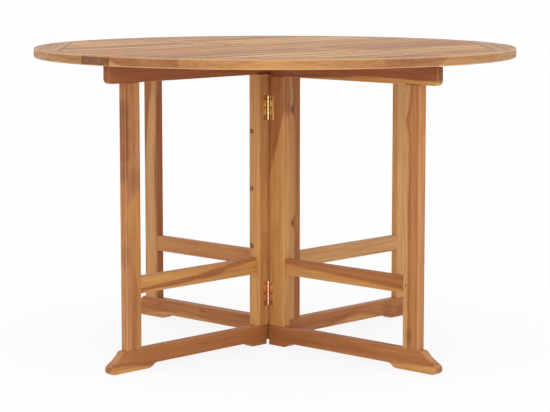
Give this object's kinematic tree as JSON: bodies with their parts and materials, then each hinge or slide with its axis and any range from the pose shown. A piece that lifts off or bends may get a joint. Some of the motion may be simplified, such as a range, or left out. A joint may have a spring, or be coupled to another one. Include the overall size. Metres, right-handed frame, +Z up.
{
  "type": "folding table",
  "caption": "Round slatted wooden butterfly table with a fixed centre board, hinged drop leaves and swing-out gate legs on butt hinges.",
  "frame": {"origin": "on the floor under the centre of the round top", "axes": "+Z up, +X along the centre board, +Y towards the back leaf and its gate"},
  "size_m": [1.2, 1.2, 0.75],
  "materials": {
    "frame_teak": "oiled, satin",
    "top_teak": "oiled, satin",
    "plug_teak": "oiled, end grain",
    "hinge_brass": "polished",
    "screw_brass": "satin",
    "steel_screw": "plain"
  },
  "bodies": {
    "centre_frame": {"frame_foot": "frame_teak", "frame_top_rail": "frame_teak", "middle_post": "frame_teak", "end_post_front": "frame_teak", "end_post_back": "frame_teak", "hinge_post_front": "frame_teak", "hinge_post_back": "frame_teak", "frame_stretcher_front": "frame_teak", "frame_stretcher_back": "frame_teak", "post_plugs": "plug_teak", "post_screws": "steel_screw", "centre_board": "top_teak", "board_screws": "steel_screw", "gate_hinge_frame_leaves": "hinge_brass", "gate_hinge_pins": "hinge_brass", "gate_hinge_frame_screws": "screw_brass", "leaf_hinge_board_flaps": "hinge_brass", "leaf_hinge_pins": "hinge_brass", "leaf_hinge_board_screws": "screw_brass"},
    "gate_front": {"gate_front_foot": "frame_teak", "gate_front_top_rail": "frame_teak", "gate_front_inner_post": "frame_teak", "gate_front_outer_post": "frame_teak", "gate_front_stretcher": "frame_teak", "gate_front_hinge_leaves": "hinge_brass", "gate_front_hinge_screws": "screw_brass"},
    "leaf_front": {"leaf_front_rim_1": "top_teak", "leaf_front_rim_2": "top_teak", "leaf_front_rim_3": "top_teak", "leaf_front_rim_4": "top_teak", "leaf_front_rim_5": "top_teak", "leaf_front_hinge_rail": "top_teak", "leaf_front_middle_rail": "top_teak", "leaf_front_slats_right": "top_teak", "leaf_front_slats_left": "top_teak", "leaf_front_rest_block": "frame_teak", "leaf_front_hinge_flaps": "hinge_brass", "leaf_front_screws": "screw_brass"},
    "gate_back": {"gate_back_foot": "frame_teak", "gate_back_top_rail": "frame_teak", "gate_back_inner_post": "frame_teak", "gate_back_outer_post": "frame_teak", "gate_back_stretcher": "frame_teak", "gate_back_hinge_leaves": "hinge_brass", "gate_back_hinge_screws": "screw_brass"},
    "leaf_back": {"leaf_back_rim_1": "top_teak", "leaf_back_rim_2": "top_teak", "leaf_back_rim_3": "top_teak", "leaf_back_rim_4": "top_teak", "leaf_back_rim_5": "top_teak", "leaf_back_hinge_rail": "top_teak", "leaf_back_middle_rail": "top_teak", "leaf_back_slats_right": "top_teak", "leaf_back_slats_left": "top_teak", "leaf_back_rest_block": "frame_teak", "leaf_back_hinge_flaps": "hinge_brass", "leaf_back_screws": "screw_brass"}
  },
  "joints": [
    {"name": "gate_front_swing", "type": "hinge", "parent": "centre_frame", "child": "gate_front", "pos_m": [-0.0445, -0.0185, 0], "axis": [0, 0, -1], "range_deg": [0, 90]},
    {"name": "gate_back_swing", "type": "hinge", "parent": "centre_frame", "child": "gate_back", "pos_m": [0.0445, 0.0185, 0], "axis": [0, 0, -1], "range_deg": [0, 90]},
    {"name": "leaf_front_lift", "type": "hinge", "parent": "centre_frame", "child": "leaf_front", "pos_m": [0, -0.0455, 0.727], "axis": [-1, 0, 0], "range_deg": [0, 6]},
    {"name": "leaf_back_lift", "type": "hinge", "parent": "centre_frame", "child": "leaf_back", "pos_m": [0, 0.0455, 0.727], "axis": [1, 0, 0], "range_deg": [0, 6]}
  ]
}
